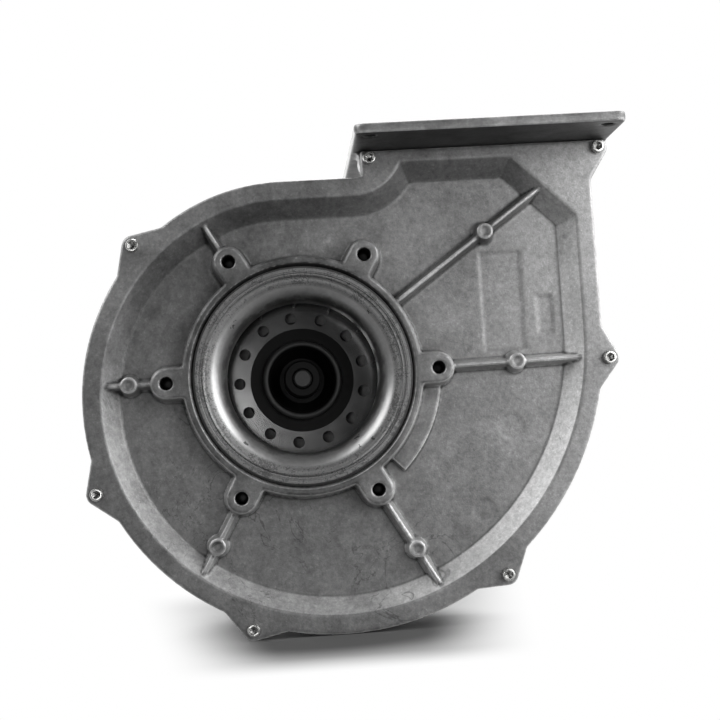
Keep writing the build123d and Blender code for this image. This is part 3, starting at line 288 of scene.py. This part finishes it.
def mark_edges(mesh):
    """Stores how far each point stands out of its surroundings, and how far its face turns off the front.

    The finish takes wear on edges, dirt and painted shade in corners, painted light on slopes and painted
    shade on undersides from these.
    """
    count = len(mesh.vertices)
    points = np.empty(count * 3)
    mesh.vertices.foreach_get("co", points)
    points = points.reshape(-1, 3)
    normals = np.empty(count * 3, dtype=np.float32)
    mesh.vertex_normals.foreach_get("vector", normals)
    normals = normals.reshape(-1, 3)
    ends = np.empty(len(mesh.edges) * 2, dtype=np.int32)
    mesh.edges.foreach_get("vertices", ends)
    first, second = ends.reshape(-1, 2).T
    shared = np.maximum(np.bincount(first, minlength=count) + np.bincount(second, minlength=count), 1)

    def round_about(values):
        total = np.bincount(first, values[second], count) + np.bincount(second, values[first], count)
        return total / shared

    middle = np.stack([round_about(points[:, axis]) for axis in range(3)], axis=1)
    lengths = np.linalg.norm(points[first] - points[second], axis=1)
    reach = (np.bincount(first, lengths, count) + np.bincount(second, lengths, count)) / shared
    out = ((points - middle) * normals).sum(axis=1) / np.maximum(reach, 1e-7) * 3.0
    out = 0.5 * out + 0.5 * round_about(out)
    marks = {"edge": np.clip(out, -1.0, 1.0), "wall": 1.0 - abs(normals[:, 1]), "under": -normals[:, 2]}
    for name, values in marks.items():
        store = mesh.attributes.new(name, "FLOAT", "POINT")
        store.data.foreach_set("value", values.astype(np.float32))


def cast_mesh(shape, voxel, share, rounds=2):
    """Rounds a shape's edges as a die does: fused on a grid, smoothed in rounds, then thinned to a share."""
    rough = bpy.data.meshes.new("rough")
    shape.to_mesh(rough)
    shape.free()
    fused = evaluated(rough, ("REMESH", {"mode": "VOXEL", "voxel_size": voxel}))
    soft = bmesh.new()
    soft.from_mesh(fused)
    all_axes = {"use_axis_x": True, "use_axis_y": True, "use_axis_z": True}
    for _ in range(rounds):
        bmesh.ops.smooth_vert(soft, verts=soft.verts, factor=0.5, **all_axes)
    for face in soft.faces:
        face.smooth = True
    soft.to_mesh(fused)
    soft.free()
    mark_edges(fused)
    return evaluated(fused, ("DECIMATE", {"ratio": share}))


def mark_hole_shade(mesh, middles, axes, reach, fade=0.0003):
    """Marks what lies within reach of the middles of holes, on two axes, where the finishes paint shade."""
    count = len(mesh.vertices)
    points = np.empty(count * 3)
    mesh.vertices.foreach_get("co", points)
    flat = points.reshape(-1, 3)[:, axes]
    gap = np.min([np.hypot(*(flat - middle).T) for middle in middles], axis=0)
    store = mesh.attributes.new("hole_shade", "FLOAT", "POINT")
    store.data.foreach_set("value", np.clip((reach - gap) / fade, 0.0, 1.0).astype(np.float32))


casting = cast_skin("cast_aluminium", painted_slope_light=0.22)
cover_shape = merged_copy("casing_cover")
pad_face, seat_edge, seat_slant = 0.0001, 0.0590, 1.022
for point in cover_shape.verts:
    if point.co.y < pad_face and math.hypot(point.co.x, point.co.z) < seat_edge:
        point.co.x, point.co.z = point.co.x * seat_slant, point.co.z * seat_slant
cover_mesh = cast_mesh(cover_shape, voxel=0.00078, share=0.42)
cover = new_piece("cover_casting", cover_mesh, casting, "housing")
mounts = {mount["name"]: mount for mount in frame["record"]["mounts"]}
inlet_bolts = mounts["inlet_bolts"]["dims"]
inlet_circle, inlet_count = inlet_bolts["pcd_mm"] / 2000, inlet_bolts["count"]
inlet_turns = [math.tau * step / inlet_count for step in range(inlet_count)]
inlet_holes = [(inlet_circle * math.cos(turn), inlet_circle * math.sin(turn)) for turn in inlet_turns]
# Painted shade in the cover's inlet bolt holes
mark_hole_shade(cover.data, inlet_holes, axes=(0, 2), reach=0.0037)
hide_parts("casing_cover")

# ---- Rear half of the casing --------------------------------------------------------------------------
# The scroll with its duct and outlet flange, cast in the same alloy and with the same skin. The flange has
# a bolt hole at each corner. The motor hangs in the opening at the back.
scroll_mesh = cast_mesh(merged_copy("casing_rear"), voxel=0.00115, share=0.36)
scroll = new_piece("scroll_casting", scroll_mesh, casting, "housing")
duct_x, duct_y, _ = mounts["outlet_bolts"]["pos_m"]
aside = mounts["outlet_bolts"]["dims"]["spacing_x_mm"] / 2000
outlet_holes = [(duct_x + aside * side, duct_y + aside * end) for side in (-1, 1) for end in (-1, 1)]
# Painted shade in the outlet flange's bolt holes
mark_hole_shade(scroll.data, outlet_holes, axes=(0, 1), reach=0.0036)
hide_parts("casing_rear")

# ---- Cover screws -------------------------------------------------------------------------------------
# Seven zinc-plated cap screws with a hexagon socket and a knurled rim, made of cold-headed steel. They are
# seated on the cover's ears and under the outlet flange, and shade is painted in their sockets.
def turned(name, loops, steps, places, outwards, finish, body, ring=False):
    """A skin over loops about an axis. Each loop is a radius, or a function of the angle, and a height.

    The end loops close it, or as a ring its last loop joins its first.
    """
    shape = bmesh.new()
    up = Vector(outwards).normalized()
    side = Vector((0, 0, 1)).cross(up).normalized()
    other = up.cross(side)
    for place in places:
        rings = []
        for radius, height in loops:
            points = []
            for step in range(steps):
                angle = math.tau * step / steps
                reach = radius(angle) if callable(radius) else radius
                across = reach * (math.cos(angle) * side + math.sin(angle) * other)
                points.append(shape.verts.new(Vector(place) + across + height * up))
            rings.append(points)
        pairs = zip(rings, rings[1:] + rings[:1]) if ring else zip(rings[:-1], rings[1:])
        for first, second in pairs:
            for step in range(steps):
                corners = (first[step - 1], first[step], second[step], second[step - 1])
                shape.faces.new(corners).smooth = True
        if not ring:
            shape.faces.new(rings[0])
            shape.faces.new(rings[-1])
    bmesh.ops.recalc_face_normals(shape, faces=shape.faces)
    mesh = bpy.data.meshes.new(name)
    shape.to_mesh(mesh)
    shape.free()
    sharp_angle = math.radians(38)
    mesh.set_sharp_from_angle(angle=sharp_angle)
    return new_piece(name, mesh, finish, body)


def hexagon(flat):
    """A ring with six sides, by the distance from its middle to a side."""
    return lambda angle: flat / math.cos((angle + math.pi / 6) % (math.pi / 3) - math.pi / 6)


def cap_screw(thread, length, head, height, socket):
    """Rings of a cap screw from its tip to the bottom of its socket, with the seat of its head at zero."""
    def knurled(angle):
        return head * (1.0 - 0.02 * (1.0 + math.cos(24 * angle)))

    rings = [(thread * 0.8, -length), (thread, thread * 0.3 - length), (thread, 0.0), (head * 0.97, 0.0)]
    rings += [(knurled, 0.08 * height), (knurled, 0.78 * height), (head * 0.95, 0.9 * height)]
    rings += [(head * 0.88, 0.985 * height), (head * 0.82, height), (hexagon(socket * 1.16), height)]
    rings += [(hexagon(socket), 0.93 * height), (hexagon(socket), 0.30 * height)]
    return rings + [(socket * 0.2, 0.16 * height)]


def screw_seats(node):
    """Where the screws of a CAD node stand: the middle of each in x and z, and its lowest y."""
    shape = merged_copy(node)
    left = set(shape.verts)
    seats = []
    while left:
        group, edge_of_group = set(), [left.pop()]
        while edge_of_group:
            point = edge_of_group.pop()
            group.add(point)
            for near in (edge.other_vert(point) for edge in point.link_edges):
                if near in left:
                    left.discard(near)
                    edge_of_group.append(near)
        spans = [(min(p.co[axis] for p in group), max(p.co[axis] for p in group)) for axis in range(3)]
        seats.append(((sum(spans[0]) / 2, sum(spans[2]) / 2), spans[1][0]))
    shape.free()
    return sorted(seats)


def plain(name, colour, metallic=0.0, roughness=0.5, scale=300.0, spread=0.10):
    """A finish whose colour and roughness stray by the spread, with a fine relief and painted shade in marked
    holes.
    """
    finish = Finish(name, Metallic=metallic)
    cloud = finish.noise(scale / 6, 4.0, 0.6)
    grain = finish.noise(scale, 3.0)
    stray = 1.0 + 2.0 * spread * (cloud - 0.5) + spread * (grain - 0.5)
    stray = stray * (1.0 - 0.85 * finish.stored("hole_shade"))
    colour = finish.node("ShaderNodeVectorMath", {"operation": "SCALE"}, {0: colour, "Scale": stray})
    finish.give(Base_Color=colour)
    finish.give(Roughness=roughness + 0.8 * spread * (grain - 0.5) + spread * (cloud - 0.5))
    finish.give(Normal=finish.bump(grain, 0.00006, 0.6))
    return finish


zinc = plain("zinc_plated", (0.50, 0.50, 0.49), 0.92, 0.27, 500.0, 0.35)
screw_places, screw_tops = zip(*screw_seats("cover_screws"))
head_height = 0.004
ear_places = [(x, screw_tops[0] + head_height, z) for x, z in screw_places]
screw_rings = cap_screw(thread=0.002, length=0.018, head=0.0035, height=head_height, socket=0.0019)
heads = turned("cover_cap_screws", screw_rings, 72, ear_places, (0, -1, 0), zinc, "housing")
# Painted shade in the screws' hexagon sockets
mark_hole_shade(heads.data, screw_places, axes=(0, 2), reach=0.0021)
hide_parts("cover_screws")

# ---- Inlet nozzle and its seal ------------------------------------------------------------------------
# A turned bell of aluminium, held in the cover's seat by its flange. Its flat lip keeps the grooves of the
# tool and is spotted with dirt. The bell is polished by the air, and its throat is darkened with painted
# shade.
nozzle_low, nozzle_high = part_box("inlet_nozzle")
face, end = nozzle_low[1], nozzle_high[1]
throat, bell_width, bell_depth, bell_wall = 0.0410, 0.0112, 0.0150, 0.0018
throat_length, flange_back = 0.009, 0.0043
start = end - throat_length
lip = throat + bell_width
sweep = [math.radians(5 * step) for step in range(19)]
loops = [(throat, end), (throat, start)]
loops += [(lip - bell_width * math.cos(turn), start - bell_depth * math.sin(turn)) for turn in sweep[1:]]
rim = [  # outwards from the bell's lip and back from its face: ridges, the seal's groove, then the flange
    (0.0004, 0.0011), (0.0008, 0.0007), (0.0014, 0.0011), (0.0022, 0.0010), (0.0025, 0.0003),
    (0.0030, 0.0003), (0.0033, 0.0), (0.0047, 0.0), (0.0049, 0.0002), (0.0049, 0.00045),
    (0.0041, 0.0005), (0.0041, 0.0024), (0.0061, 0.0024), (0.0061, flange_back), (0.0, flange_back),
]
loops += [(lip + out, face + back) for out, back in rim]
inner_width, inner_depth = bell_width - bell_wall, start - face - flange_back
loops += [(lip - inner_width * math.cos(turn), start - inner_depth * math.sin(turn))
          for turn in reversed(sweep[:-1])]
loops += [(throat + bell_wall, end - 0.0002), (throat + bell_wall - 0.0002, end), (throat + 0.0003, end)]

spun = Finish("machined_aluminium", Metallic=0.85)
_, spun_y, _, spun_radius = spun.axis_parts()
spun_line = spun.node("ShaderNodeCombineXYZ", {}, {"X": spun_radius, "Y": spun_y})
grooves = spun.noise(2600.0, 2.0, 0.6, 0.0, spun_line)
spun_cloud = spun.noise(70.0, 5.0, 0.65)
spun_grain = spun.noise(520.0, 4.0, 0.7)
flat_lip = spun.rise(spun_radius, 0.0472, 0.0494)
spun_pits = spun.noise(1150.0, 2.0, 0.6)
spots = spun.rise(0.4 * spun_grain + 0.6 * spun_pits + 0.8 * (spun_cloud - 0.5), 0.49, 0.62) * flat_lip
# Painted shade in the bell's throat, where it turns into the casing
throat_shade = 1.0 - spun.rise(spun_radius, 0.0408, 0.0440 + 0.022 * (spun_cloud - 0.5))
tone = 0.38 + 0.30 * (spun_cloud - 0.5) + 0.14 * (spun_grain - 0.5) + 0.12 * (grooves - 0.5)
tone = tone - flat_lip * (0.21 + 0.1 * (spun_cloud - 0.5))
tone = tone * (1.0 - 0.55 * spots) * (1.0 - 0.72 * throat_shade)
spun.give(Base_Color=spun.grey(tone))
spun.give(Roughness=0.36 + 0.08 * flat_lip + 0.14 * (spun_grain - 0.5) + 0.1 * (spun_cloud - 0.5))
spun.give(Normal=spun.bump(0.6 * grooves + 0.6 * spun_grain + 0.3 * spun_pits, 0.00024, 0.5))
nozzle_rings = [(radius, -depth) for radius, depth in loops]
nozzle = turned("inlet_bell", nozzle_rings, 192, [(0, 0, 0)], (0, -1, 0), spun, "housing", ring=True)
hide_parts("inlet_nozzle")
rubber = plain("black_rubber", (0.018, 0.018, 0.018), 0.0, 0.55, 400.0, 0.25)
rubber.put_on(nodes["nozzle_seal"])

# ---- Wheel ----------------------------------------------------------------------------------------------
# Plate, blades and shroud of bright rolled aluminium sheet. The plate is wiped in circles round the hub, and
# the shroud and the blades are darker and duller from the wheel's eye outwards, with painted shade.
sheet = Finish("wheel_aluminium", Metallic=1.0)
_, sheet_y, _, sheet_radius = sheet.axis_parts()
sheet_line = sheet.node("ShaderNodeCombineXYZ", {}, {"X": sheet_radius})
wiped = sheet.noise(1300.0, 2.0, 0.5, 0.0, sheet_line)
sheet_cloud = sheet.noise(60.0, 4.0, 0.6)
# Painted shade on the shroud and blades beyond the wheel's eye
wheel_inner_shade = sheet.rise(sheet_radius, 0.0380, 0.0400) * sheet.rise(0.0 - sheet_y, -0.0474, -0.0468)
sheet_tone = (0.21 + 0.20 * (sheet_cloud - 0.5) + 0.05 * (wiped - 0.5)) * (1.0 - 0.9 * wheel_inner_shade)
sheet.give(Base_Color=sheet.grey(sheet_tone), Roughness=0.17 + 0.06 * (sheet_cloud - 0.5) + 0.5 * wheel_inner_shade)
sheet.give(Normal=sheet.bump(wiped, 0.00001, 0.3))
for name in ("wheel_back_plate", "wheel_shroud", "wheel_blades"):
    sheet.put_on(nodes[name])

# ---- Hub and shaft --------------------------------------------------------------------------------------
# A blackened steel pressing, held on the ground shaft by a retaining ring. Dust has dulled both, and the
# hub's ridge is rubbed bright.
dark = plain("black_metal", (0.006, 0.006, 0.0065), 0.0, 0.42, 260.0, 0.35)
_, _, _, dark_radius = dark.axis_parts()
rubbed = dark.rise(0.0022 - abs(dark_radius - 0.0208), 0.0, 0.0014)
dark.give(Base_Color=dark.grey(0.003 + 0.04 * rubbed), Metallic=0.6 * rubbed, Specular_IOR_Level=0.1)
dark.put_on(nodes["wheel_hub"])
shaft_steel = plain("shaft_steel", (0.03, 0.03, 0.03), 0.6, 0.42, 600.0, 0.3)
for name in ("shaft", "retaining_ring"):
    shaft_steel.put_on(nodes[name])

# ---- Gasket, seals and rubber mounts --------------------------------------------------------------------
# A fibre gasket between the two castings, rubber seals round the shaft and the motor, and moulded rubber
# grommets that the motor hangs in.
plain("gasket_sheet", (0.06, 0.06, 0.06), 0.0, 0.75, 500.0, 0.2).put_on(nodes["casing_gasket"])
for name in ("shaft_seal", "motor_seal", "mount_grommets"):
    rubber.put_on(nodes[name])

# ---- Motor ----------------------------------------------------------------------------------------------
# Shot-blasted castings: the flange with its four arms, the finned can and the end shield behind it, held
# together by plated bolts. The rest is closed in: bearings, stator, rotor and the board under its hood.
blasted = cast_skin("motor_casting", low=0.30, wear=0.20)
for name in ("motor_flange", "motor_can", "rear_end_shield"):
    motor_mesh = cast_mesh(merged_copy(name), voxel=0.0008, share=0.35, rounds=1)
    motor_part = new_piece(name + "_casting", motor_mesh, blasted, "housing")
    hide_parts(name)
plated = ("mount_sleeves", "mount_washers", "mount_screws", "through_bolts", "board_screws", "hood_screws")
for name in plated:
    zinc.put_on(nodes[name])
inner_finishes = {
    ("bearing_steel", (0.62, 0.62, 0.62), 1.0, 0.12): (
        "preload_washer", "front_bearing_inner_ring", "front_bearing_outer_ring", "front_bearing_balls",
        "rear_bearing_inner_ring", "rear_bearing_outer_ring", "rear_bearing_balls"),
    ("cage_brass", (0.60, 0.42, 0.16), 1.0, 0.35): ("front_bearing_cage", "rear_bearing_cage"),
    ("lamination_steel", (0.10, 0.10, 0.105), 0.5, 0.45): ("stator_core", "rotor_core"),
    ("magnet", (0.05, 0.05, 0.053), 0.2, 0.55): ("rotor_magnets", "sensor_magnet"),
    ("winding_copper", (0.45, 0.15, 0.04), 0.7, 0.30): ("stator_coils",),
    ("insulator_plastic", (0.58, 0.55, 0.45), 0.0, 0.50): ("stator_insulators",),
    ("board_laminate", (0.012, 0.085, 0.030), 0.0, 0.30): ("circuit_board",),
    ("component_black", (0.016, 0.016, 0.016), 0.0, 0.45): ("power_module", "angle_sensor"),
    ("capacitor_can", (0.10, 0.11, 0.15), 0.3, 0.35): ("smoothing_capacitors",),
    ("choke_ferrite", (0.05, 0.045, 0.04), 0.1, 0.50): ("line_choke",),
    ("header_plastic", (0.62, 0.60, 0.50), 0.0, 0.35): ("mains_header", "signal_header"),
    ("hood_plastic", (0.016, 0.016, 0.017), 0.0, 0.50): ("electronics_hood",),
}
for (name, colour, metallic, roughness), dressed in inner_finishes.items():
    finish = plain(name, colour, metallic, roughness)
    for node in dressed:
        finish.put_on(nodes[node])

# ---- Floor, backdrop and lamps ----------------------------------------------------------------------
# A pale floor under the casing, white where nothing shades it, with a painted shadow close under the casing.
# The lamps are soft: one on each side, one in front, a small one low before the inlet, and two that light the
# back.
floor_mesh = bpy.data.meshes.new("floor")
floor_shape = bmesh.new()
floor_reach = 6.0
bmesh.ops.create_grid(floor_shape, x_segments=1, y_segments=1, size=floor_reach)
bmesh.ops.translate(floor_shape, verts=floor_shape.verts, vec=(0, 0, cad_box[0][2]))
floor_shape.to_mesh(floor_mesh)
floor_shape.free()
floor = bpy.data.objects.new("floor", floor_mesh)
bpy.context.collection.objects.link(floor)
floor_finish = Finish("floor_white", Roughness=0.9)


def white_to_sight(tree, lit, output, kind, direct, mirrored):
    """White at strength 1 where a ray shows the background, straight or mirrored, and lit elsewhere."""
    rays = tree.nodes.new("ShaderNodeLightPath")
    in_mirror = Tone(rays.outputs["Is Glossy Ray"]) + Tone(rays.outputs["Is Transmission Ray"])
    share = Tone(rays.outputs["Is Camera Ray"]) * direct + in_mirror * mirrored
    white = tree.nodes.new(kind)
    white.inputs["Color"].default_value = (1, 1, 1, 1)
    white.inputs["Strength"].default_value = 1.0
    blend = tree.nodes.new("ShaderNodeMixShader")
    tree.links.new(share.socket, blend.inputs[0])
    tree.links.new(lit.outputs[0], blend.inputs[1])
    tree.links.new(white.outputs[0], blend.inputs[2])
    tree.links.new(blend.outputs[0], output.inputs["Surface"])


floor_x, floor_y, _, _ = floor_finish.axis_parts()
shadow_x, contact_x, contact_y = 0.015, 0.006, 0.02
beside = floor_finish.rise(abs(floor_x - shadow_x) - 0.15 * floor_y, 0.04, 0.10)
before = floor_finish.rise(0.0 - floor_y, 0.06, 0.11)
beyond = floor_finish.rise(floor_y, 0.16, 0.28)
away = 1.0 - (1.0 - beside) * (1.0 - before) * (1.0 - beyond)
aside_x, aside_y = floor_x - contact_x, floor_y - contact_y
# A painted shadow on the floor, darkest close under where the casing touches it
near = 1.0 - floor_finish.rise((0.8 * aside_x * aside_x + aside_y * aside_y) ** 0.5, 0.052, 0.102)
in_sight = floor_finish.node("ShaderNodeLightPath", {}, {}, "Is Camera Ray")
floor_finish.give(Base_Color=floor_finish.grey(0.15 + in_sight * (0.35 - 0.42 * near)))
tree = floor_finish.tree
mirrored = away * floor_finish.rise(floor_y, -0.15, 0.15)
white_to_sight(tree, floor_finish.shader, tree.nodes["Material Output"], "ShaderNodeEmission", away, mirrored)
floor_finish.put_on(floor)


def softbox(name, place, size, power):
    """A square lamp that faces the shaft's front end."""
    lamp = bpy.data.lights.new(name, "AREA")
    lamp.size = size
    lamp.energy = power
    holder = bpy.data.objects.new(name, lamp)
    holder.location = place
    holder.rotation_euler = (-Vector(place)).to_track_quat("-Z", "Y").to_euler()
    bpy.context.collection.objects.link(holder)


softbox("right_box", (0.845, -0.438, 0.307), 0.80, 8.5)
softbox("left_box", (-0.724, -0.427, 0.629), 0.75, 7.0)
softbox("front_box", (0.594, -0.912, 0.159), 0.60, 4.8)
softbox("low_box", (-0.20, -1.15, -0.06), 0.20, 1.20)
softbox("high_box", (0.15, 0.75, 1.15), 0.60, 10.0)
softbox("back_box", (-0.35, 1.30, 0.15), 0.80, 7.0)

world = bpy.data.worlds.new("studio")
bpy.context.scene.world = world
world.use_nodes = True
sky = world.node_tree
dim = sky.nodes["Background"]
dim.inputs["Color"].default_value = (1, 1, 1, 1)
dim.inputs["Strength"].default_value = 0.05
direction = sky.nodes.new("ShaderNodeTexCoord").outputs["Generated"]
parts = sky.nodes.new("ShaderNodeSeparateXYZ")
sky.links.new(direction, parts.inputs[0])
behind = (Tone(parts.outputs["Y"]) + 0.15) * 3.0
behind.socket.node.use_clamp = True
white_to_sight(sky, dim, sky.nodes["World Output"], "ShaderNodeBackground", 1.0, behind)

bpy.context.scene.view_settings.view_transform = "Standard"
